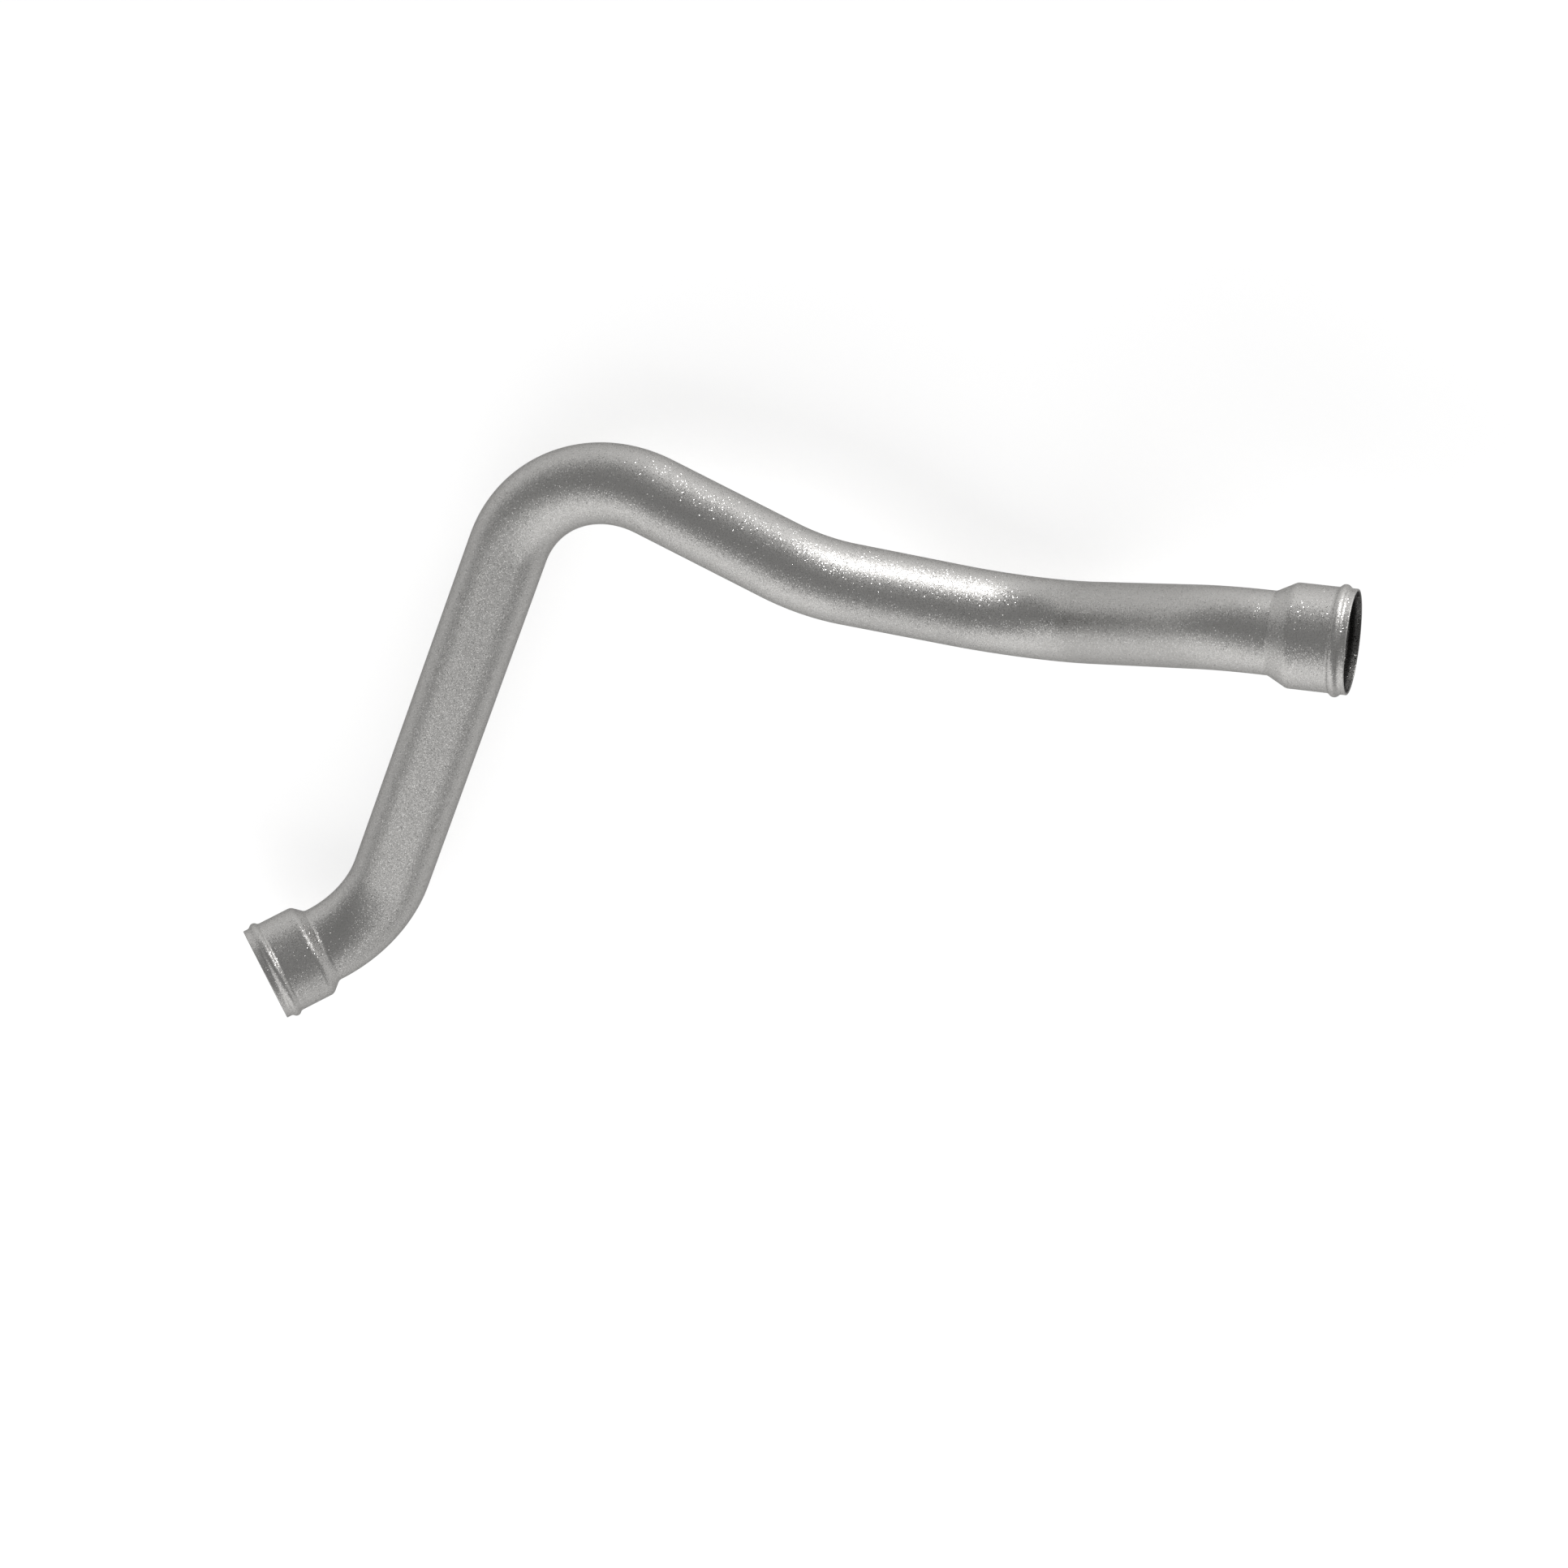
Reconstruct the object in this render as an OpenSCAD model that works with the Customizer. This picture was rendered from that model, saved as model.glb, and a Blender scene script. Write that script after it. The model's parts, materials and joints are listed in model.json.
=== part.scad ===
/* [Tube] */
// Outside diameter of the tube
tube_d = 50.8; // [40:0.1:56]
// Thickness of the wall, the same all over
wall = 1.65; // [1:0.05:2.5]
// Radius of every bend, at the centreline
bend_r = 76.2; // [60:0.1:120]

/* [Left end] */
// Length of the left hose seat, from its mouth to its cone
left_seat_l = 34.5; // [24:0.5:80]
// Length of the short, steep left cone
left_cone_l = 7; // [5:0.5:30]
// Plain tube between the left cone and the first bend
left_plain_l = 0.5; // [0.5:0.5:80]

/* [Right end] */
// Length of the right hose seat, from its mouth to its cone
right_seat_l = 36; // [24:0.5:80]
// Length of the long, shallow right cone
right_cone_l = 12; // [5:0.5:30]
// Plain tube between the right cone and the fifth bend
right_plain_l = 2; // [0.5:0.5:80]

/* [Both ends] */
// Outside diameter of the expanded hose seats
seat_d = 63.5; // [58:0.1:76]
// Radius inside the blends at the two edges of a cone
blend_r = 4; // [1:0.5:8]
// Plain lip between a mouth and the foot of its bead
lip_l = 3; // [1:0.5:8]
// Height of the rolled bead over the seat
bead_h = 2; // [1:0.1:3]
// Radius of the bead's crest
crest_r = 3.2; // [2.8:0.1:4.5]
// Radius of the bead's two feet
foot_r = 2.6; // [1:0.1:4]
// Radius that breaks the edges of a mouth
edge_r = 0.4; // [0.1:0.05:0.45]

/* [Straight legs, from left to right] */
// Long leg that the tube lies on, between the first and the second bend
leg_1 = 248.5; // [100:0.5:400]
// Leg between the second and the third bend
leg_2 = 89; // [10:0.5:200]
// Leg between the third and the fourth bend
leg_3 = 73; // [10:0.5:200]
// Leg between the fourth and the fifth bend
leg_4 = 91; // [10:0.5:200]

/* [Bend angles] */
// First bend
bend_1_angle = 52; // [20:0.5:80]
// Second bend
bend_2_angle = 90.5; // [60:0.5:110]
// Third bend
bend_3_angle = 34; // [10:0.5:60]
// Fourth bend
bend_4_angle = 70.5; // [40:0.5:90]
// Fifth bend
bend_5_angle = 36; // [10:0.5:60]

/* [Turn of each bend's plane from the last one's] */
// Turn before the second bend
turn_2_angle = 134.5; // [110:0.5:160]
// Turn before the third bend
turn_3_angle = 93; // [70:0.5:115]
// Turn before the fourth bend
turn_4_angle = 145; // [120:0.5:170]
// Turn before the fifth bend
turn_5_angle = -178.5; // [-200:0.5:-160]

/* [Hidden] */
$fn = 96;
metal = [0.56, 0.555, 0.545];
tube_r = tube_d / 2;
seat_r = seat_d / 2;
legs = [leg_1, leg_2, leg_3, leg_4];
bends = [bend_1_angle, bend_2_angle, bend_3_angle, bend_4_angle, bend_5_angle];
turns = [0, turn_2_angle, turn_3_angle, turn_4_angle, turn_5_angle];
// Cutting shapes run this far past what they cut
past = 1;
// Straight stretches run this far into the walls of the bends, which are this much fuller on both sides
lap_l = 0.3;
lap_r = 0.05;
bend_tube_r = tube_r + lap_r;

// Slope of a cone's side against the axis
function slope(cone_l) = atan((seat_r - tube_r) / cone_l);

// Distance from a mouth to where the neck behind the cone runs out into plain tube
function neck_end(seat_l, cone_l) = seat_l + cone_l + blend_r * tan(slope(cone_l) / 2);
left_end_l = neck_end(left_seat_l, left_cone_l) + left_plain_l;
right_end_l = neck_end(right_seat_l, right_cone_l) + right_plain_l;

// A bead's crest arc touches both foot arcs, which sets its width and its middle
arcs_r = crest_r + foot_r;
bead_half_w = sqrt(bead_h * (2 * arcs_r - bead_h));
bead_at = lip_l + bead_half_w;
crest_centre_r = seat_r + bead_h - crest_r;

// Centre of the arc that blends a seat into its cone: distance from the axis, then from the mouth
function shoulder(seat_l, cone_l) =
    [seat_r - wall - blend_r, seat_l - (blend_r + wall) * tan(slope(cone_l) / 2)];

// Half section of a bead, filled from inside the wall out to a surface that is depth deep
module bead_half(depth) {
    lean = [arcs_r - bead_h, bead_half_w] / arcs_r;
    crest = [crest_centre_r, bead_at];
    touch_r = crest_centre_r + (crest_r - depth) * lean[0];
    touch_w = (crest_r - depth) * lean[1];
    base_r = seat_r - depth;
    difference() {
        polygon([
            [base_r - past, bead_at - bead_half_w],
            [base_r, bead_at - bead_half_w],
            [touch_r, bead_at - touch_w],
            [touch_r, bead_at + touch_w],
            [base_r, bead_at + bead_half_w],
            [base_r - past, bead_at + bead_half_w]
        ]);
        for (side = [-1, 1])
            translate([seat_r + foot_r, bead_at + side * bead_half_w])
                circle(r = foot_r + depth);
    }
    translate(crest)
        circle(r = crest_r - depth);
}

// Half section of an end, filled from the axis out to a surface that is depth deep
module end_half(seat_l, cone_l, plain_l, depth) {
    side = [cos(slope(cone_l)), sin(slope(cone_l))];
    shoulder_at = shoulder(seat_l, cone_l);
    shoulder_r = blend_r + wall - depth;
    neck_at = [tube_r + blend_r, neck_end(seat_l, cone_l)];
    neck_r = blend_r + depth;
    over = depth > 0 ? past : 0;
    end_l = neck_at[1] + plain_l + lap_l + over;
    difference() {
        polygon([
            [0, -over],
            [seat_r - depth, -over],
            shoulder_at + [shoulder_r, 0],
            shoulder_at + shoulder_r * side,
            neck_at - neck_r * side,
            neck_at - [neck_r, 0],
            [tube_r - depth, end_l],
            [0, end_l]
        ]);
        translate(neck_at)
            circle(r = neck_r);
    }
    translate(shoulder_at)
        circle(r = shoulder_r);
    bead_half(depth);
}

// What rounds a corner of a mouth, where out is 1 outside the wall and -1 inside it
module broken_edge(at_r, out) {
    centre = [at_r - out * edge_r, edge_r];
    difference() {
        translate([out > 0 ? centre[0] : at_r - past, -past])
            square(edge_r + past);
        translate(centre)
            circle(r = edge_r);
    }
}

// Expanded end with its hose bead and a stub of plain tube, standing on its mouth
module expanded_end(seat_l, cone_l, plain_l) {
    rotate_extrude()
        difference() {
            end_half(seat_l, cone_l, plain_l, 0);
            end_half(seat_l, cone_l, plain_l, wall);
            broken_edge(seat_r, 1);
            broken_edge(seat_r - wall, -1);
        }
}

// Cross section of the wall, fuller by extra on both sides
module section(extra) {
    difference() {
        circle(r = tube_r + extra);
        circle(r = tube_r - wall - extra);
    }
}

// Straight leg along +Z, with a lap at both ends
module leg(length) {
    translate([0, 0, -lap_l])
        linear_extrude(length + 2 * lap_l)
            section(0);
}

// Bend that leaves along +Z and turns towards +X
module bend(angle) {
    translate([bend_r, 0, 0])
        rotate([90, 0, 180])
            rotate_extrude(angle = angle)
                translate([bend_r, 0])
                    section(lap_r);
}

// Everything from bend i to the right mouth, drawn from the start of that bend
module route_from(i) {
    rotate(turns[i]) {
        bend(bends[i]);
        translate([bend_r, 0, 0])
            rotate([0, bends[i], 0])
                translate([-bend_r, 0, 0])
                    after_bend(i);
    }
}

module after_bend(i) {
    if (i < len(legs)) {
        leg(legs[i]);
        translate([0, 0, legs[i]])
            route_from(i + 1);
    } else {
        translate([0, 0, right_end_l])
            rotate([180, 0, 0])
                expanded_end(right_seat_l, right_cone_l, right_plain_l);
    }
}

// The same route as frames: a point on the centreline, and a matrix whose last column runs along it
function about_z(a) = [[cos(a), -sin(a), 0], [sin(a), cos(a), 0], [0, 0, 1]];
function about_y(a) = [[cos(a), 0, sin(a)], [0, 1, 0], [-sin(a), 0, cos(a)]];
function bend_start(i) =
    i == 0
        ? [[0, 0, left_end_l], about_z(turns[0])]
        : let (last = bend_end(i - 1))
            [last[0] + last[1] * [0, 0, legs[i - 1]], last[1] * about_z(turns[i])];
function bend_end(i) =
    let (start = bend_start(i), m = start[1] * about_y(bends[i]))
        [start[0] + start[1] * [bend_r, 0, 0] - m * [bend_r, 0, 0], m];

// How far a ring about an axis, and the outside of a bend, reach in a direction
function ring_reach(centre, axis, r, way) = centre * way + r * norm(way - (way * axis) * axis);
function bend_reach(i, way) =
    let (
        start = bend_start(i),
        end = bend_end(i),
        across = way * (start[1] * [1, 0, 0]),
        along = way * (start[1] * [0, 0, 1]),
        top = atan2(along, -across),
        centre = start[0] + start[1] * [bend_r, 0, 0],
        crown = centre * way + bend_r * norm([across, along]) + bend_tube_r,
        rims = [for (rim = [start, end]) ring_reach(rim[0], rim[1] * [0, 0, 1], bend_tube_r, way)]
    )
        top > 0 && top < bends[i] ? max(crown, max(rims)) : max(rims);

// How far an end reaches: its mouth, its bead and its shoulder, each a ring of round section
function end_reach(mouth, inward, seat_l, cone_l, way) =
    let (edge = shoulder(seat_l, cone_l))
        max(
            ring_reach(mouth + inward * edge_r, inward, seat_r - edge_r, way) + edge_r,
            ring_reach(mouth + inward * bead_at, inward, crest_centre_r, way) + crest_r,
            ring_reach(mouth + inward * edge[1], inward, edge[0], way) + blend_r + wall
        );

left_mouth = [0, 0, 0];
left_inward = [0, 0, 1];
last_bend_end = bend_end(len(bends) - 1);
right_inward = -(last_bend_end[1] * [0, 0, 1]);
right_mouth = last_bend_end[0] - right_end_l * right_inward;
function reach(way) =
    max(concat(
        [for (i = [0 : len(bends) - 1]) bend_reach(i, way)],
        end_reach(left_mouth, left_inward, left_seat_l, left_cone_l, way),
        end_reach(right_mouth, right_inward, right_seat_l, right_cone_l, way)
    ));

// The tube comes to rest along its long leg, rolled about that leg until the fourth bend touches too
rest_leg = bend_end(0);
rest_bend = 3;
rest_steps = 12;
function lowest_on_bend(down) =
    let (
        start = bend_start(rest_bend),
        across = down * (start[1] * [1, 0, 0]),
        along = down * (start[1] * [0, 0, 1]),
        a = min(max(atan2(along, -across), 0), bends[rest_bend])
    )
        start[0] + bend_r * (start[1] * [1 - cos(a), 0, sin(a)]);
function unit(v) = v / norm(v);
function down_over(touch) = unit(cross(rest_leg[1] * [0, 0, 1], touch - rest_leg[0]));
function settled(down, steps) =
    steps == 0 ? down : settled(down_over(lowest_on_bend(down)), steps - 1);
down = settled(down_over(bend_start(rest_bend)[0]), rest_steps);

// Axes of the resting tube: X runs from the left mouth to the right one, as seen from above
up = -down;
span = right_mouth - left_mouth;
x_way = unit(span - (span * up) * up);
y_way = cross(up, x_way);

// Row of the resting frame, which puts the middle of what the tube spans that way at zero
function centred_row(way) = concat(way, (reach(-way) - reach(way)) / 2);

module charge_air_tube() {
    color(metal)
        multmatrix([centred_row(x_way), centred_row(y_way), concat(up, reach(down))]) {
            expanded_end(left_seat_l, left_cone_l, left_plain_l);
            translate([0, 0, left_end_l])
                route_from(0);
        }
}

charge_air_tube();
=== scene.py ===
"""Charge air cooler tube: one bent metal pipe, shown on a plain floor."""

import json
import math

import bpy
from bpy.props import (
    FloatProperty,
    FloatVectorProperty,
    IntProperty,
    PointerProperty,
)
from mathutils import Matrix, Vector


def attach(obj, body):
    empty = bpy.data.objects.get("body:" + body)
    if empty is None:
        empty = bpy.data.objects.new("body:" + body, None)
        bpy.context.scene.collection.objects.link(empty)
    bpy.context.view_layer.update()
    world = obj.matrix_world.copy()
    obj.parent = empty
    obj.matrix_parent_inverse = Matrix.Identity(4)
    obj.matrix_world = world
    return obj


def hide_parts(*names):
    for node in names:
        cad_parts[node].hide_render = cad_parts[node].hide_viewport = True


bl_info = {
    "name": "Charge Air Cooler Tube",
    "version": (1, 0, 0),
    "blender": (4, 5, 0),
    "location": "View3D > Sidebar > Charge Air Tube",
    "description": "Forms a charge air pipe from its bend table and sets a plain stage for it",
    "category": "Object",
}

TUBE_NODE = "charge_air_tube"

# Sizes in the record are in millimetres
MM = 0.001

# Parts that a bead and a cone are cut into, and degrees between the rings of a broken edge
BEAD_PARTS = 30
CONE_PARTS = 34
EDGE_STEP = 15

# How far from a curved part the next straight one has its first ring, at an end and on a leg
GUARD = 0.0004
LEG_GUARD = 0.001

# The first ring after a mouth lies RIM further in, and points closer than WELD become one
RIM = 0.000004
WELD = 0.000001

# Noise settings of the wider patches in the coating
PATCH_DETAIL = 5
PATCH_ROUGHNESS = 0.6

# Side of the photograph and focal length of its camera, in the photograph's pixels
PHOTO_SIDE = 1932
PHOTO_FOCAL = 5478.5

# How far the camera sees, in metres
SIGHT = 50

# The left end and the strip lamp behind the tube, whose property groups have the right end
# and the front soft box as defaults
LEFT_END = {"seat_length": 0.0345, "cone_length": 0.007, "plain_length": 0.0005}
BACK_STRIP = {
    "azimuth": math.radians(30),
    "elevation": math.radians(3.9),
    "distance": 2.1,
    "width": 0.85,
    "height": 0.18,
    "radiance": 45,
}

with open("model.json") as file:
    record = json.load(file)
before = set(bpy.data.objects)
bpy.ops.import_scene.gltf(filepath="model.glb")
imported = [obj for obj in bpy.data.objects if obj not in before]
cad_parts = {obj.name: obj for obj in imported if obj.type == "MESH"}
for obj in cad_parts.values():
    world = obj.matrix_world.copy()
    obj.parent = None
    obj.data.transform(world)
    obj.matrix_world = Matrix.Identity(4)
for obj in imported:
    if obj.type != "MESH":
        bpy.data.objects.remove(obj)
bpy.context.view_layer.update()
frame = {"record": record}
mounts = {mount["name"]: mount for mount in frame["record"]["mounts"]}


# Sizes

class TubeSizes(bpy.types.PropertyGroup):
    """Sizes of the round tube and its bend table"""

    diameter: FloatProperty(
        name="Tube Diameter", description="Outside diameter of the tube",
        default=0.0508, min=0.02, unit="LENGTH", precision=5)
    wall: FloatProperty(
        name="Wall", description="Thickness of the wall, the same all over",
        default=0.00165, min=0.0005, unit="LENGTH", precision=5)
    bend_radius: FloatProperty(
        name="Bend Radius", description="Radius of every bend at the centreline",
        default=0.0762, min=0.04, unit="LENGTH", precision=5)
    legs: FloatVectorProperty(
        name="Legs", description="Straight legs between the bends, from left to right",
        size=4, default=(0.2485, 0.089, 0.073, 0.091), unit="LENGTH", precision=5)
    bends: FloatVectorProperty(
        name="Bends", description="Angles of the five bends",
        size=5, default=tuple(math.radians(a) for a in (52, 90.5, 34, 70.5, 36)), unit="ROTATION")
    turns: FloatVectorProperty(
        name="Turns", description="Turn of each bend's plane from the last one's",
        size=5, default=tuple(math.radians(a) for a in (0, 134.5, 93, 145, -178.5)),
        unit="ROTATION")
    sides: IntProperty(
        name="Sides", description="Faces round the tube", default=120, min=24)
    bend_step: FloatProperty(
        name="Bend Step", description="Angle between the rings of a bend",
        default=math.radians(2), min=math.radians(0.5), unit="ROTATION")


class EndSizes(bpy.types.PropertyGroup):
    """Sizes of one expanded end, with those of the right one as defaults"""

    seat_length: FloatProperty(
        name="Seat Length", description="Length of the hose seat, from its mouth to its cone",
        default=0.036, unit="LENGTH", precision=5)
    cone_length: FloatProperty(
        name="Cone Length", description="Length of the cone between the seat and the tube",
        default=0.012, unit="LENGTH", precision=5)
    plain_length: FloatProperty(
        name="Plain Length", description="Plain tube between the cone and the nearest bend",
        default=0.002, unit="LENGTH", precision=5)


class HoseSeatSizes(bpy.types.PropertyGroup):
    """Sizes that both expanded ends share"""

    diameter: FloatProperty(
        name="Seat Diameter", description="Outside diameter of the hose seats",
        default=2 * mounts["left_hose_seat"]["dims"]["r_mm"] * MM, unit="LENGTH", precision=5)
    blend_radius: FloatProperty(
        name="Blend Radius", description="Radius inside the blends at the two edges of a cone",
        default=0.004, unit="LENGTH", precision=5)
    lip: FloatProperty(
        name="Lip", description="Plain lip between a mouth and the foot of its bead",
        default=0.003, unit="LENGTH", precision=5)
    bead_height: FloatProperty(
        name="Bead Height", description="Height of the rolled bead over the seat",
        default=0.002, unit="LENGTH", precision=5)
    crest_radius: FloatProperty(
        name="Crest Radius", description="Radius of the bead's crest",
        default=0.0032, unit="LENGTH", precision=5)
    foot_radius: FloatProperty(
        name="Foot Radius", description="Radius of the bead's two feet",
        default=0.0026, unit="LENGTH", precision=5)
    edge_radius: FloatProperty(
        name="Edge Radius", description="Radius that breaks the edges of a mouth",
        default=0.0004, unit="LENGTH", precision=5)


class MetalLook(bpy.types.PropertyGroup):
    """Finish of the coated steel, and the painted shade in its bore"""

    pale: FloatVectorProperty(
        name="Pale Grain", description="Colour of the coating's lighter grains",
        size=3, subtype="COLOR", default=(0.52, 0.512, 0.5), min=0, max=1)
    dull: FloatVectorProperty(
        name="Dull Grain", description="Colour of the coating's darker grains",
        size=3, subtype="COLOR", default=(0.46, 0.452, 0.44), min=0, max=1)
    grazing: FloatVectorProperty(
        name="Grazing Tint", description="Tint of what the coating mirrors at its far edges",
        size=3, subtype="COLOR", default=(0.3, 0.3, 0.3), min=0, max=1)
    # Painted shade: the bore's colour is the outside's scaled down by this share, darkening the
    # inside of the tube
    inner: FloatProperty(
        name="Painted Bore Shade", description="Share of the outside's tone that the bore's coating has",
        default=0.45, min=0, max=1, subtype="FACTOR")
    grain: FloatProperty(
        name="Grain", description="Size of one grain of the coating",
        default=0.0004, unit="LENGTH", precision=5)
    lean: FloatProperty(
        name="Lean", description="How far the grains lean out of the surface",
        default=0.04, min=0, max=1)
    flakes: FloatProperty(
        name="Flakes", description="Share of the grains that are shinier flakes",
        default=0.3, min=0, max=1, subtype="FACTOR")
    flake_lean: FloatProperty(
        name="Flake Lean", description="How far the flakes lean out of the surface",
        default=0.42, min=0, max=1)
    flake_roughness: FloatProperty(
        name="Flake Roughness", description="Roughness of the flakes", default=0.24, min=0, max=1)
    patch: FloatProperty(
        name="Patch", description="Size of the wider patches in which the tone changes",
        default=1 / 75, unit="LENGTH", precision=5)
    clouding: FloatProperty(
        name="Clouding", description="Share of the tone that the wider patches give",
        default=0.4, min=0, max=1, subtype="FACTOR")
    smooth: FloatProperty(
        name="Smoothest", description="Roughness of the palest level grains",
        default=0.47, min=0, max=1)
    rough: FloatProperty(
        name="Roughest", description="Roughness of the dullest level grains",
        default=0.55, min=0, max=1)


class LampLook(bpy.types.PropertyGroup):
    """Place, size and brightness of a studio lamp, with those of the front one as defaults"""

    azimuth: FloatProperty(
        name="Azimuth", description="Direction of the lamp round the tube, from +X",
        default=math.radians(-135), unit="ROTATION")
    elevation: FloatProperty(
        name="Elevation", description="Angle at which the lamp stands over the floor",
        default=math.radians(33), unit="ROTATION")
    distance: FloatProperty(
        name="Distance", description="Distance of the lamp from the middle of the stage",
        default=2.6, unit="LENGTH")
    width: FloatProperty(
        name="Width", description="Width of the lamp", default=5.4, unit="LENGTH")
    height: FloatProperty(
        name="Height", description="Height of the lamp", default=2.7, unit="LENGTH")
    radiance: FloatProperty(
        name="Radiance", description="Brightness of the lamp's face, where 1 is white",
        default=1.13, min=0)


class StageLook(bpy.types.PropertyGroup):
    """Floor, even light and camera"""

    floor: FloatVectorProperty(
        name="Floor", description="Colour of the floor",
        size=3, subtype="COLOR", default=(0.7, 0.7, 0.7), min=0, max=1)
    lift: FloatProperty(
        name="Lift", description="White that the floor adds for the camera and in mirrors",
        default=0.66, min=0, max=1, subtype="FACTOR")
    floor_size: FloatProperty(
        name="Floor Size", description="Side of the floor", default=60, unit="LENGTH")
    air: FloatVectorProperty(
        name="Air", description="Colour of the light that comes from all round",
        size=3, subtype="COLOR", default=(0.28, 0.28, 0.28), min=0, max=1)
    eye: FloatVectorProperty(
        name="Eye", description="Place of the camera",
        size=3, subtype="TRANSLATION", default=(0.815101, 0.841162, 2.570398), precision=6)
    gaze: FloatVectorProperty(
        name="Gaze", description="Direction in which the camera looks",
        size=3, subtype="DIRECTION", default=(-0.290864, -0.336858, -0.895503), precision=6)
    right: FloatVectorProperty(
        name="Right", description="Direction that the picture shows as right",
        size=3, subtype="DIRECTION", default=(0.904068, -0.403105, -0.142011), precision=6)
    field: FloatProperty(
        name="Field of View", description="Angle that the camera takes in",
        default=2 * math.atan(PHOTO_SIDE / 2 / PHOTO_FOCAL), unit="ROTATION")


class TubeSettings(bpy.types.PropertyGroup):
    """Everything that the tube and its stage are made from"""

    tube: PointerProperty(type=TubeSizes)
    left: PointerProperty(type=EndSizes)
    right: PointerProperty(type=EndSizes)
    seat: PointerProperty(type=HoseSeatSizes)
    metal: PointerProperty(type=MetalLook)
    front: PointerProperty(type=LampLook)
    strip: PointerProperty(type=LampLook)
    stage: PointerProperty(type=StageLook)


# Shape of the wall at an end

class EndProfile:
    """Radius of the wall's two skins against the distance from a mouth"""

    def __init__(self, end, seat, tube):
        self.wall = tube.wall
        self.tube_r = tube.diameter / 2
        self.seat_r = seat.diameter / 2
        self.edge = seat.edge_radius
        self.blend = seat.blend_radius
        self.crest = seat.crest_radius
        self.foot = seat.foot_radius
        self.slope = math.atan((self.seat_r - self.tube_r) / end.cone_length)
        self.neck_end = end.seat_length + end.cone_length + self.blend * math.tan(self.slope / 2)
        self.shoulder = end.seat_length - (self.blend + self.wall) * math.tan(self.slope / 2)
        self.length = self.neck_end + end.plain_length
        arcs = self.crest + self.foot
        self.bead_half = math.sqrt(seat.bead_height * (2 * arcs - seat.bead_height))
        self.bead_at = seat.lip + self.bead_half
        self.crest_centre = self.seat_r + seat.bead_height - self.crest
        self.lean = self.bead_half / arcs

    def radius(self, at, depth):
        """Radius of the surface that lies depth under the outside"""
        if at < self.edge:
            return self.edge_radius(at, depth)
        off = abs(at - self.bead_at)
        if off < (self.crest - depth) * self.lean:
            return self.crest_centre + math.sqrt((self.crest - depth) ** 2 - off ** 2)
        if off < self.bead_half:
            foot = self.foot + depth
            return self.seat_r + self.foot - math.sqrt(foot ** 2 - (self.bead_half - off) ** 2)
        if at <= self.shoulder:
            return self.seat_r - depth
        if at >= self.neck_end:
            return self.tube_r - depth
        return self.cone_radius(at, depth)

    def edge_radius(self, at, depth):
        """Radius on the broken edge of the mouth"""
        rise = self.edge - math.sqrt(self.edge ** 2 - (self.edge - at) ** 2)
        if depth:
            return self.seat_r - self.wall + rise
        return self.seat_r - rise

    def cone_radius(self, at, depth):
        """Radius on the cone and on the blends at its two edges"""
        shoulder = self.blend + self.wall - depth
        neck = self.blend + depth
        past_shoulder = at - self.shoulder
        before_neck = self.neck_end - at
        if past_shoulder < shoulder * math.sin(self.slope):
            centre = self.seat_r - self.wall - self.blend
            return centre + math.sqrt(shoulder ** 2 - past_shoulder ** 2)
        if before_neck < neck * math.sin(self.slope):
            return self.tube_r + self.blend - math.sqrt(neck ** 2 - before_neck ** 2)
        start = self.seat_r - self.wall - self.blend + shoulder * math.cos(self.slope)
        run = past_shoulder - shoulder * math.sin(self.slope)
        return start - run * math.tan(self.slope)

    def stations(self):
        """Distances from the mouth at which the wall gets a ring"""
        turns = range(EDGE_STEP, 90, EDGE_STEP)
        edge = [self.edge * (1 - math.cos(math.radians(turn))) for turn in turns]
        bead = spread(self.bead_at - self.bead_half, self.bead_at + self.bead_half, BEAD_PARTS)
        cone = spread(self.shoulder, self.neck_end, CONE_PARTS)
        guards = [self.edge + GUARD, bead[0] - GUARD, bead[-1] + GUARD, cone[0] - GUARD]
        return sorted([0, RIM, self.edge] + edge + bead + cone + guards)


def spread(start, end, parts):
    """Evenly spaced numbers from start to end"""
    return [start + (end - start) * i / parts for i in range(parts + 1)]


# Route of the centreline

class Ring:
    """One ring of the wall: a point of the centreline and the radii of its two skins"""

    def __init__(self, point, outside, inside):
        self.point = point
        self.outside = outside
        self.inside = inside


def bend_matrix(radius, angle):
    """Moves a frame that runs along +Z through a bend towards +X"""
    out = Matrix.Translation((radius, 0, 0))
    return out @ Matrix.Rotation(angle, 4, "Y") @ Matrix.Translation((-radius, 0, 0))


def end_rings(profile, pose, mirrored):
    """Rings of an expanded end, from its mouth inwards, or outwards when mirrored"""
    rings = []
    middle = profile.seat_r - profile.wall / 2
    for at in profile.stations():
        outside = profile.radius(at, 0) if at else middle
        inside = profile.radius(at, profile.wall) if at else middle
        along = profile.length - at if mirrored else at
        rings.append(Ring(pose @ Vector((0, 0, along)), outside, inside))
    return rings[::-1] if mirrored else rings


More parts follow.
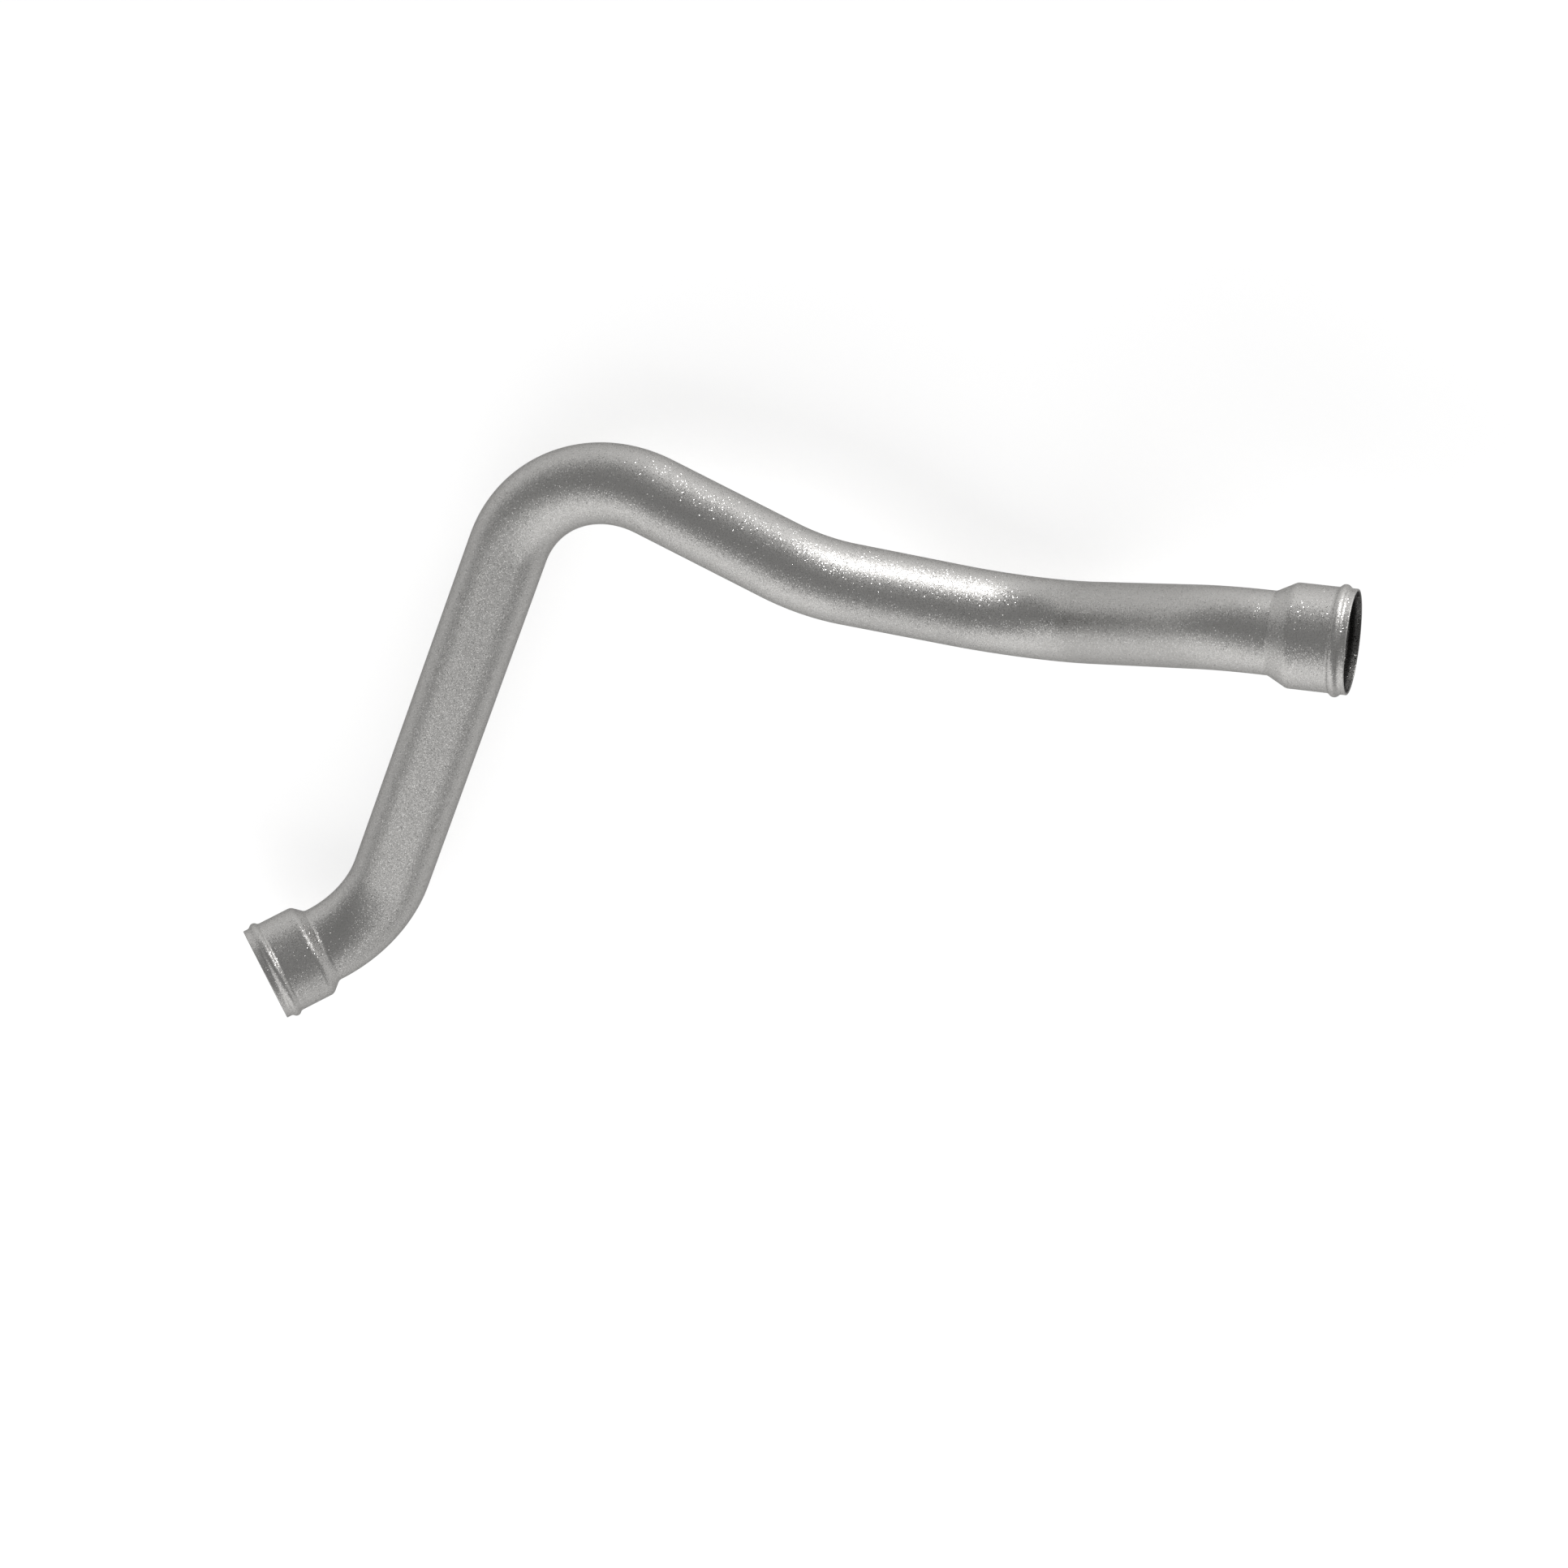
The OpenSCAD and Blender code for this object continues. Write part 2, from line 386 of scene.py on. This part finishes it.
def route_rings(settings):
    """All rings from the left mouth to the right one, and the pose of the right mouth"""
    tube = settings.tube
    outside = tube.diameter / 2
    inside = outside - tube.wall
    left = EndProfile(settings.left, settings.seat, tube)
    right = EndProfile(settings.right, settings.seat, tube)
    rings = end_rings(left, Matrix.Identity(4), False)
    pose = Matrix.Translation((0, 0, left.length))
    for i, angle in enumerate(tube.bends):
        pose = pose @ Matrix.Rotation(tube.turns[i], 4, "Z")
        steps = math.ceil(angle / tube.bend_step)
        for step in range(steps + 1):
            point = pose @ bend_matrix(tube.bend_radius, angle * step / steps) @ Vector()
            rings.append(Ring(point, outside, inside))
        pose = pose @ bend_matrix(tube.bend_radius, angle)
        if i < len(tube.legs):
            for along in (LEG_GUARD, tube.legs[i] - LEG_GUARD):
                rings.append(Ring(pose @ Vector((0, 0, along)), outside, inside))
            pose = pose @ Matrix.Translation((0, 0, tube.legs[i]))
    rings += end_rings(right, pose, True)
    return rings, pose @ Matrix.Translation((0, 0, right.length))


def facing(along, towards):
    """Turn whose Z runs along one direction, and whose X leans towards another"""
    z = along.normalized()
    x = (towards - towards.dot(z) * z).normalized()
    return Matrix((x, z.cross(x), z)).transposed()


def mouth_point(name, edge):
    """Place of a mouth, from the bore that the record states in it"""
    mount = mounts[name]
    reach = mount["dims"]["length_mm"] * MM / 2 + edge
    return Vector(mount["pos_m"]) + Vector(mount["axis"]) * reach


def resting_pose(settings, right_mouth):
    """Puts the route, drawn from the left mouth along +Z, where the frame has it"""
    edge = settings.seat.edge_radius
    start = mouth_point("left_mouth", edge)
    span = mouth_point("right_mouth", edge) - start
    inwards = -Vector(mounts["left_mouth"]["axis"])
    turn = facing(inwards, span) @ facing(Vector((0, 0, 1)), right_mouth).transposed()
    return Matrix.Translation(start) @ turn.to_4x4()


# Node trees

def new_tree(name, inputs):
    """Empty geometry tree with named inputs and one geometry output"""
    tree = bpy.data.node_groups.new(name, "GeometryNodeTree")
    tree.is_modifier = True
    tree.interface.new_socket("Geometry", in_out="INPUT", socket_type="NodeSocketGeometry")
    for label, kind in inputs:
        tree.interface.new_socket(label, in_out="INPUT", socket_type=kind)
    tree.interface.new_socket("Geometry", in_out="OUTPUT", socket_type="NodeSocketGeometry")
    return tree


def add_node(tree, kind, place, values=None, **settings):
    """Node at a place in the tree, with its settings and its unlinked inputs set"""
    node = tree.nodes.new(kind)
    node.location = place
    for name, value in settings.items():
        setattr(node, name, value)
    for name, value in (values or {}).items():
        node.inputs[name].default_value = value
    return node


def add_skin(tree, route, radius, circle, attribute, row):
    """Skin of the wall, whose radius is the plain tube's with a stored swelling added"""
    link = tree.links.new
    swell = add_node(tree, "GeometryNodeInputNamedAttribute", (-400, row), {"Name": attribute})
    total = add_node(tree, "ShaderNodeMath", (-200, row), operation="ADD")
    skin = add_node(tree, "GeometryNodeCurveToMesh", (0, row), {"Fill Caps": False})
    link(swell.outputs["Attribute"], total.inputs[0])
    link(radius, total.inputs[1])
    link(route, skin.inputs["Curve"])
    link(circle, skin.inputs["Profile Curve"])
    link(total.outputs[0], skin.inputs["Scale"])
    return skin.outputs["Mesh"]


def tube_tree():
    """Tree that draws both skins of a tube along a route and joins them at its mouths"""
    tree = new_tree("Tube Along Its Route", [
        ("Tube Diameter", "NodeSocketFloat"),
        ("Wall", "NodeSocketFloat"),
        ("Sides", "NodeSocketInt"),
        ("Metal", "NodeSocketMaterial"),
    ])
    link = tree.links.new
    given = add_node(tree, "NodeGroupInput", (-1000, 0))
    route = add_node(tree, "GeometryNodeMeshToCurve", (-400, 300))
    link(given.outputs["Geometry"], route.inputs["Mesh"])
    outer = add_node(tree, "ShaderNodeMath", (-800, 0), {1: 0.5}, operation="MULTIPLY")
    link(given.outputs["Tube Diameter"], outer.inputs[0])
    inner = add_node(tree, "ShaderNodeMath", (-600, -200), operation="SUBTRACT")
    link(outer.outputs[0], inner.inputs[0])
    link(given.outputs["Wall"], inner.inputs[1])
    circle = add_node(tree, "GeometryNodeCurvePrimitiveCircle", (-400, 500), {"Radius": 1.0})
    link(given.outputs["Sides"], circle.inputs["Resolution"])
    way = route.outputs["Curve"]
    ring = circle.outputs["Curve"]
    outside = add_skin(tree, way, outer.outputs[0], ring, "swell_outside", 100)
    inside = add_skin(tree, way, inner.outputs[0], ring, "swell_inside", -200)
    turned = add_node(tree, "GeometryNodeFlipFaces", (400, -200))
    link(inside, turned.inputs["Mesh"])
    # Marks the bore's skin, which the coating darkens with painted shade
    marked = add_node(
        tree, "GeometryNodeStoreNamedAttribute", (500, -200), {"Name": "inner", "Value": 1},
        data_type="FLOAT", domain="POINT")
    link(turned.outputs["Mesh"], marked.inputs["Geometry"])
    both = add_node(tree, "GeometryNodeJoinGeometry", (600, 0))
    link(outside, both.inputs["Geometry"])
    link(marked.outputs["Geometry"], both.inputs["Geometry"])
    weld = add_node(tree, "GeometryNodeMergeByDistance", (800, 0), {"Distance": WELD})
    link(both.outputs["Geometry"], weld.inputs["Geometry"])
    soft = add_node(tree, "GeometryNodeSetShadeSmooth", (1000, 0), {"Shade Smooth": True})
    link(weld.outputs["Geometry"], soft.inputs["Geometry"])
    real = add_node(tree, "GeometryNodeRealizeInstances", (1200, 0))
    link(soft.outputs["Geometry"], real.inputs["Geometry"])
    coat = add_node(tree, "GeometryNodeSetMaterial", (1400, 0))
    link(real.outputs["Geometry"], coat.inputs["Geometry"])
    link(given.outputs["Metal"], coat.inputs["Material"])
    made = add_node(tree, "NodeGroupOutput", (1600, 0))
    link(coat.outputs["Geometry"], made.inputs["Geometry"])
    return tree


def applied(obj, tree, values):
    """Plain mesh that the tree makes of an object, which is removed"""
    modifier = obj.modifiers.new(tree.name, "NODES")
    modifier.node_group = tree
    for item in tree.interface.items_tree:
        if item.item_type == "SOCKET" and item.in_out == "INPUT" and item.name in values:
            modifier[item.identifier] = values[item.name]
    bpy.context.scene.collection.objects.link(obj)
    evaluated = obj.evaluated_get(bpy.context.evaluated_depsgraph_get())
    mesh = bpy.data.meshes.new_from_object(evaluated)
    bpy.data.objects.remove(obj)
    return mesh


# Materials

def coat_colour(tree, look, tone):
    """Colour of the coating from its tone, with painted shade that darkens the points marked as
    inner, in the bore
    """
    link = tree.links.new
    ramp = add_node(tree, "ShaderNodeValToRGB", (-400, 300))
    for element, paint in zip(ramp.color_ramp.elements, (look.dull, look.pale)):
        element.color = (*paint, 1)
    link(tone, ramp.inputs["Fac"])
    # Painted shade: on the bore's skin the colour is scaled down to the look's inner share of the
    # outside's
    inner = add_node(tree, "ShaderNodeAttribute", (-700, 500))
    inner.attribute_name = "inner"
    bore_shade = add_node(tree, "ShaderNodeMapRange", (-500, 500), {"To Min": 1, "To Max": look.inner})
    link(inner.outputs["Fac"], bore_shade.inputs["Value"])
    coat = add_node(tree, "ShaderNodeVectorMath", (-100, 300), operation="SCALE")
    link(ramp.outputs["Color"], coat.inputs[0])
    link(bore_shade.outputs["Result"], coat.inputs["Scale"])
    return coat.outputs[0]


def pick_flakes(tree, look, grains):
    """One for the grains that are flakes, and zero for the others"""
    link = tree.links.new
    lot = add_node(tree, "ShaderNodeTexWhiteNoise", (-1100, -500))
    link(grains.outputs["Position"], lot.inputs["Vector"])
    flake = add_node(
        tree, "ShaderNodeMath", (-850, -700), {1: 1 - look.flakes}, operation="GREATER_THAN")
    link(lot.outputs["Value"], flake.inputs[0])
    return flake.outputs[0]


def leaning_normal(tree, look, grains, flake):
    """Normal that leans a random way on each grain, far on few of them, and most on flakes"""
    link = tree.links.new
    centred = add_node(
        tree, "ShaderNodeVectorMath", (-850, -250), {1: (2, 2, 2), 2: (-1, -1, -1)},
        operation="MULTIPLY_ADD")
    link(grains.outputs["Color"], centred.inputs[0])
    square = add_node(tree, "ShaderNodeVectorMath", (-750, -350), operation="MULTIPLY")
    rare = add_node(tree, "ShaderNodeVectorMath", (-700, -300), operation="MULTIPLY")
    for end in (square.inputs[0], square.inputs[1], rare.inputs[0]):
        link(centred.outputs[0], end)
    link(square.outputs[0], rare.inputs[1])
    tilt = add_node(
        tree, "ShaderNodeMapRange", (-650, -700), {"To Min": look.lean, "To Max": look.flake_lean})
    link(flake, tilt.inputs["Value"])
    lean = add_node(tree, "ShaderNodeVectorMath", (-650, -250), operation="SCALE")
    link(rare.outputs[0], lean.inputs[0])
    link(tilt.outputs["Result"], lean.inputs["Scale"])
    surface = add_node(tree, "ShaderNodeNewGeometry", (-850, -500))
    leaning = add_node(tree, "ShaderNodeVectorMath", (-450, -350), operation="ADD")
    link(surface.outputs["Normal"], leaning.inputs[0])
    link(lean.outputs[0], leaning.inputs[1])
    normal = add_node(tree, "ShaderNodeVectorMath", (-250, -350), operation="NORMALIZE")
    link(leaning.outputs[0], normal.inputs[0])
    return normal.outputs[0]


def grain_roughness(tree, look, tone, flake):
    """Roughness from the tone, except on flakes, which share one"""
    link = tree.links.new
    level = add_node(
        tree, "ShaderNodeMapRange", (-400, 0), {"To Min": look.rough, "To Max": look.smooth})
    link(tone, level.inputs["Value"])
    shine = add_node(
        tree, "ShaderNodeMix", (-200, 0), {"B": look.flake_roughness}, data_type="FLOAT")
    link(flake, shine.inputs["Factor"])
    link(level.outputs["Result"], shine.inputs["A"])
    return shine.outputs["Result"]


def coated_steel(look):
    """Satin grey coating of fine grains, some of which are leaning flakes that sparkle, with
    painted shade in the bore
    """
    material = bpy.data.materials.new("coated_steel")
    material.use_nodes = True
    tree = material.node_tree
    link = tree.links.new
    shader = tree.nodes["Principled BSDF"]
    shader.inputs["Metallic"].default_value = 1
    shader.inputs["Specular Tint"].default_value = (*look.grazing, 1)
    place = add_node(tree, "ShaderNodeTexCoord", (-1400, 0))
    grains = add_node(tree, "ShaderNodeTexVoronoi", (-1100, -200), {"Scale": 1 / look.grain})
    patches = add_node(
        tree, "ShaderNodeTexNoise", (-1100, 200),
        {"Scale": 1 / look.patch, "Detail": PATCH_DETAIL, "Roughness": PATCH_ROUGHNESS})
    for texture in (grains, patches):
        link(place.outputs["Object"], texture.inputs["Vector"])
    shade = add_node(tree, "ShaderNodeSeparateColor", (-850, 0))
    link(grains.outputs["Color"], shade.inputs["Color"])
    mixed = add_node(
        tree, "ShaderNodeMix", (-650, 200), {"Factor": look.clouding}, data_type="FLOAT")
    link(shade.outputs[0], mixed.inputs["A"])
    link(patches.outputs[0], mixed.inputs["B"])
    tone = mixed.outputs["Result"]
    flake = pick_flakes(tree, look, grains)
    link(coat_colour(tree, look, tone), shader.inputs["Base Color"])
    link(grain_roughness(tree, look, tone, flake), shader.inputs["Roughness"])
    link(leaning_normal(tree, look, grains, flake), shader.inputs["Normal"])
    return material


def floor_paint(look):
    """Matt pale floor that the camera and the metal see as white where no shadow falls"""
    material = bpy.data.materials.new("floor_paint")
    material.use_nodes = True
    tree = material.node_tree
    link = tree.links.new
    tree.nodes.remove(tree.nodes["Principled BSDF"])
    matt = add_node(tree, "ShaderNodeBsdfDiffuse", (0, 200), {"Color": (*look.floor, 1)})
    rays = add_node(tree, "ShaderNodeLightPath", (-600, -100))
    seen = add_node(tree, "ShaderNodeMath", (-400, -100), operation="MAXIMUM")
    link(rays.outputs["Is Camera Ray"], seen.inputs[0])
    link(rays.outputs["Is Glossy Ray"], seen.inputs[1])
    through = add_node(tree, "ShaderNodeMath", (-200, -100), operation="MAXIMUM")
    link(seen.outputs[0], through.inputs[0])
    link(rays.outputs["Is Transmission Ray"], through.inputs[1])
    lift = add_node(tree, "ShaderNodeMath", (-50, -100), {1: look.lift}, operation="MULTIPLY")
    link(through.outputs[0], lift.inputs[0])
    glow = add_node(tree, "ShaderNodeEmission", (150, -100))
    link(lift.outputs[0], glow.inputs["Strength"])
    both = add_node(tree, "ShaderNodeAddShader", (350, 100))
    link(matt.outputs[0], both.inputs[0])
    link(glow.outputs[0], both.inputs[1])
    link(both.outputs[0], tree.nodes["Material Output"].inputs["Surface"])
    return material


# Operators

class FormTube(bpy.types.Operator):
    """Form the tube with its expanded ends from the bend table"""

    bl_idname = "charge_air.form_tube"
    bl_label = "Form Tube"

    def execute(self, context):
        settings = context.scene.charge_air
        rings, right_end = route_rings(settings)
        pose = resting_pose(settings, right_end.translation)
        outside = settings.tube.diameter / 2
        inside = outside - settings.tube.wall
        route = bpy.data.meshes.new("route")
        links = [(i, i + 1) for i in range(len(rings) - 1)]
        route.from_pydata([pose @ ring.point for ring in rings], links, [])
        for name, values in (
            ("swell_outside", [ring.outside - outside for ring in rings]),
            ("swell_inside", [ring.inside - inside for ring in rings]),
        ):
            route.attributes.new(name, "FLOAT", "POINT").data.foreach_set("value", values)
        mesh = applied(bpy.data.objects.new("route", route), tube_tree(), {
            "Tube Diameter": settings.tube.diameter,
            "Wall": settings.tube.wall,
            "Sides": settings.tube.sides,
            "Metal": coated_steel(settings.metal),
        })
        mesh.name = "formed_tube"
        piece = bpy.data.objects.new("formed_tube", mesh)
        context.scene.collection.objects.link(piece)
        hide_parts(TUBE_NODE)
        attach(piece, "root")
        return {"FINISHED"}


def add_lamp(name, look):
    """Rectangular studio lamp that faces the middle of the stage"""
    lamp = bpy.data.lights.new(name, "AREA")
    lamp.shape = "RECTANGLE"
    lamp.size = look.width
    lamp.size_y = look.height
    lamp.energy = look.radiance * math.pi * look.width * look.height
    level = math.cos(look.elevation)
    out = Vector((
        level * math.cos(look.azimuth),
        level * math.sin(look.azimuth),
        math.sin(look.elevation),
    ))
    box = bpy.data.objects.new(name, lamp)
    box.location = out * look.distance
    box.rotation_euler = out.to_track_quat("Z", "Y").to_euler()
    box.visible_camera = False
    bpy.context.scene.collection.objects.link(box)


class SetStage(bpy.types.Operator):
    """Set up the floor, the lamps, the world and the camera"""

    bl_idname = "charge_air.set_stage"
    bl_label = "Set Stage"

    def execute(self, context):
        settings = context.scene.charge_air
        look = settings.stage
        self.lay_floor(context, look)
        add_lamp("front_soft_box", settings.front)
        add_lamp("back_strip", settings.strip)
        self.fill_air(context, look)
        self.place_camera(context, look)
        context.scene.view_settings.view_transform = "Standard"
        return {"FINISHED"}

    def lay_floor(self, context, look):
        half = look.floor_size / 2
        corners = [(-half, -half, 0), (half, -half, 0), (half, half, 0), (-half, half, 0)]
        mesh = bpy.data.meshes.new("floor")
        mesh.from_pydata(corners, [], [(0, 1, 2, 3)])
        mesh.materials.append(floor_paint(look))
        floor = bpy.data.objects.new("floor", mesh)
        context.scene.collection.objects.link(floor)

    def fill_air(self, context, look):
        world = bpy.data.worlds.new("studio_air")
        world.use_nodes = True
        world.node_tree.nodes["Background"].inputs["Color"].default_value = (*look.air, 1)
        context.scene.world = world

    def place_camera(self, context, look):
        lens = bpy.data.cameras.new("camera")
        lens.sensor_fit = "AUTO"
        lens.angle = look.field
        lens.clip_end = SIGHT
        camera = bpy.data.objects.new("camera", lens)
        back = -Vector(look.gaze).normalized()
        right = Vector(look.right)
        right = (right - right.dot(back) * back).normalized()
        turn = Matrix((right, back.cross(right), back)).transposed().to_4x4()
        camera.matrix_world = Matrix.Translation(look.eye) @ turn
        context.scene.collection.objects.link(camera)
        context.scene.camera = camera


class ChargeAirPanel(bpy.types.Panel):
    """Sizes, finish, lamps and stage of the charge air tube"""

    bl_idname = "VIEW3D_PT_charge_air"
    bl_label = "Charge Air Tube"
    bl_space_type = "VIEW_3D"
    bl_region_type = "UI"
    bl_category = "Charge Air Tube"

    def draw(self, context):
        settings = context.scene.charge_air
        for label in ("tube", "left", "right", "seat", "metal", "front", "strip", "stage"):
            box = self.layout.box()
            box.label(text=label.title())
            group = getattr(settings, label)
            for name in group.__annotations__:
                box.prop(group, name)
        self.layout.operator(FormTube.bl_idname)
        self.layout.operator(SetStage.bl_idname)


CLASSES = (
    TubeSizes, EndSizes, HoseSeatSizes, MetalLook, LampLook, StageLook, TubeSettings,
    FormTube, SetStage, ChargeAirPanel,
)


def register():
    for part in CLASSES:
        bpy.utils.register_class(part)
    bpy.types.Scene.charge_air = PointerProperty(type=TubeSettings)


def unregister():
    del bpy.types.Scene.charge_air
    for part in reversed(CLASSES):
        bpy.utils.unregister_class(part)


def fill_in(group, values):
    """Give several settings of a group their values"""
    for name, value in values.items():
        setattr(group, name, value)


def main():
    register()
    settings = bpy.context.scene.charge_air
    fill_in(settings.left, LEFT_END)
    fill_in(settings.strip, BACK_STRIP)
    bpy.ops.charge_air.form_tube()
    bpy.ops.charge_air.set_stage()


if __name__ == "__main__":
    main()
